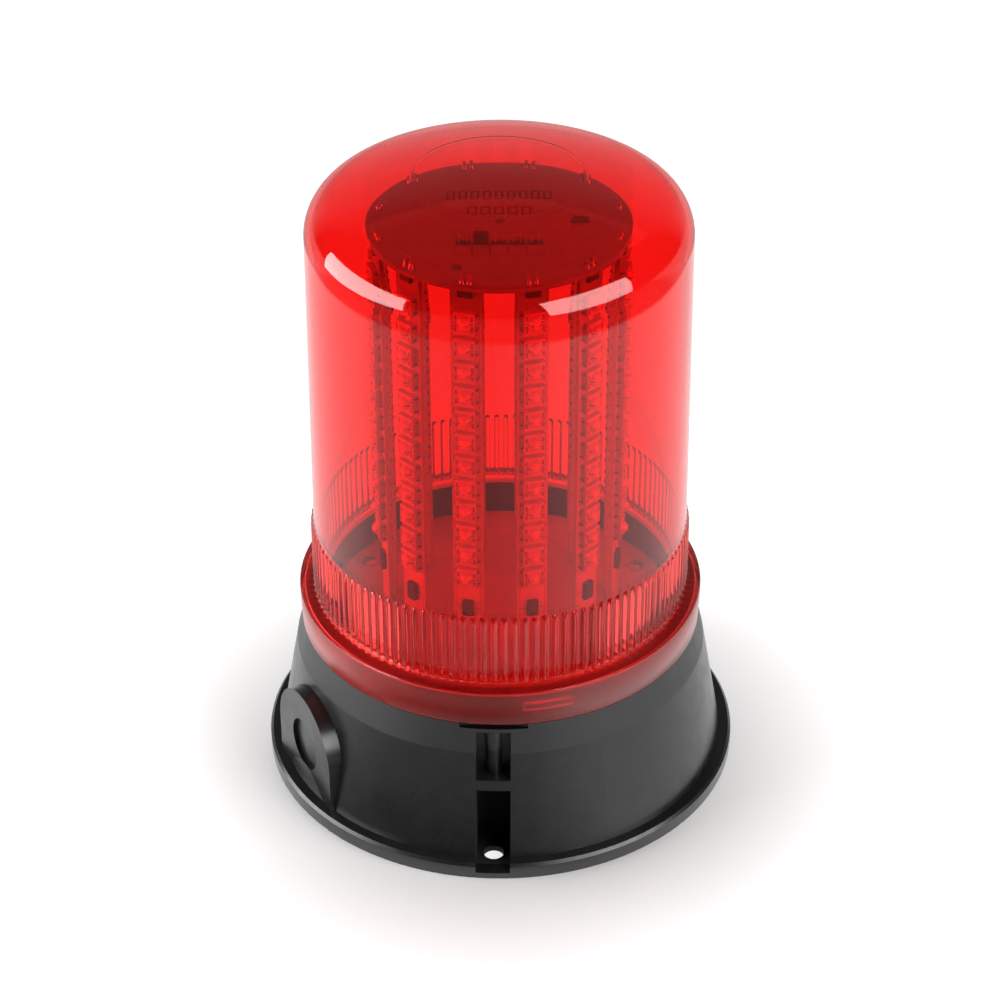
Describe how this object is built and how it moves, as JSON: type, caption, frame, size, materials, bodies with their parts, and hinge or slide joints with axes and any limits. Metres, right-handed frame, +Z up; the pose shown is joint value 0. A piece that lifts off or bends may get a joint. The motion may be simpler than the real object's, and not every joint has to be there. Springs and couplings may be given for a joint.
{
  "type": "signal beacon",
  "caption": "Signal beacon with a clear red fluted dome that twists off a black flanged base, over a ring of LED strips.",
  "frame": {"origin": "middle of the flange's underside", "axes": "+Z up along the beacon, -Y towards the fixing recess at the front"},
  "size_m": [0.18, 0.18, 0.245],
  "materials": {
    "housing_black": "satin moulded",
    "gasket_rubber": "soft matt",
    "seal_rubber": "soft matt",
    "base_board_white": "solder mask",
    "top_board_white": "solder mask",
    "strip_white": "solder mask",
    "led_clear": "clear cast resin",
    "driver_black": "moulded",
    "solder_tin": "bright solder",
    "screw_steel": "zinc plated",
    "header_black": "moulded",
    "pin_brass": "plated",
    "link_black": "moulded",
    "chip_black": "moulded",
    "terminal_green": "moulded",
    "capacitor_sleeve": "shrink sleeve",
    "ferrite_grey": "sintered",
    "lens_red": "clear moulded"
  },
  "bodies": {
    "base": {"base_housing": "housing_black", "base_gasket": "gasket_rubber", "base_board": "base_board_white", "board_screws": "screw_steel", "strip_drivers": "driver_black", "top_board": "top_board_white", "solder_top": "solder_tin", "solder_bottom": "solder_tin", "mode_header": "header_black", "mode_header_pins": "pin_brass", "controller_chip": "chip_black", "terminal_block": "terminal_green", "terminal_screws": "screw_steel", "smoothing_capacitors": "capacitor_sleeve", "bridge_rectifier": "chip_black", "supply_transformer": "ferrite_grey", "led_strip_01": "strip_white", "led_strip_02": "strip_white", "led_strip_03": "strip_white", "led_strip_04": "strip_white", "led_strip_05": "strip_white", "led_strip_06": "strip_white", "led_strip_07": "strip_white", "led_strip_08": "strip_white", "led_strip_09": "strip_white", "led_strip_10": "strip_white", "led_strip_11": "strip_white", "led_strip_12": "strip_white", "leds_01": "led_clear", "leds_02": "led_clear", "leds_03": "led_clear", "leds_04": "led_clear", "leds_05": "led_clear", "leds_06": "led_clear", "leds_07": "led_clear", "leds_08": "led_clear", "leds_09": "led_clear", "leds_10": "led_clear", "leds_11": "led_clear", "leds_12": "led_clear"},
    "seal": {"lens_seal": "seal_rubber"},
    "lens_cap": {"lens": "lens_red"},
    "link": {"mode_link": "link_black"}
  },
  "joints": [
    {"name": "lens_twist", "type": "hinge", "parent": "base", "child": "seal", "pos_m": [0, 0, 0.0709], "axis": [0, 0, 1], "range_deg": [-30, 0]},
    {"name": "lens_lift", "type": "slide", "parent": "seal", "child": "lens_cap", "axis": [0, 0, 1], "range_m": [0, 0.2]},
    {"name": "link_pull", "type": "slide", "parent": "base", "child": "link", "axis": [0, 0, 1], "range_m": [0, 0.006]}
  ]
}
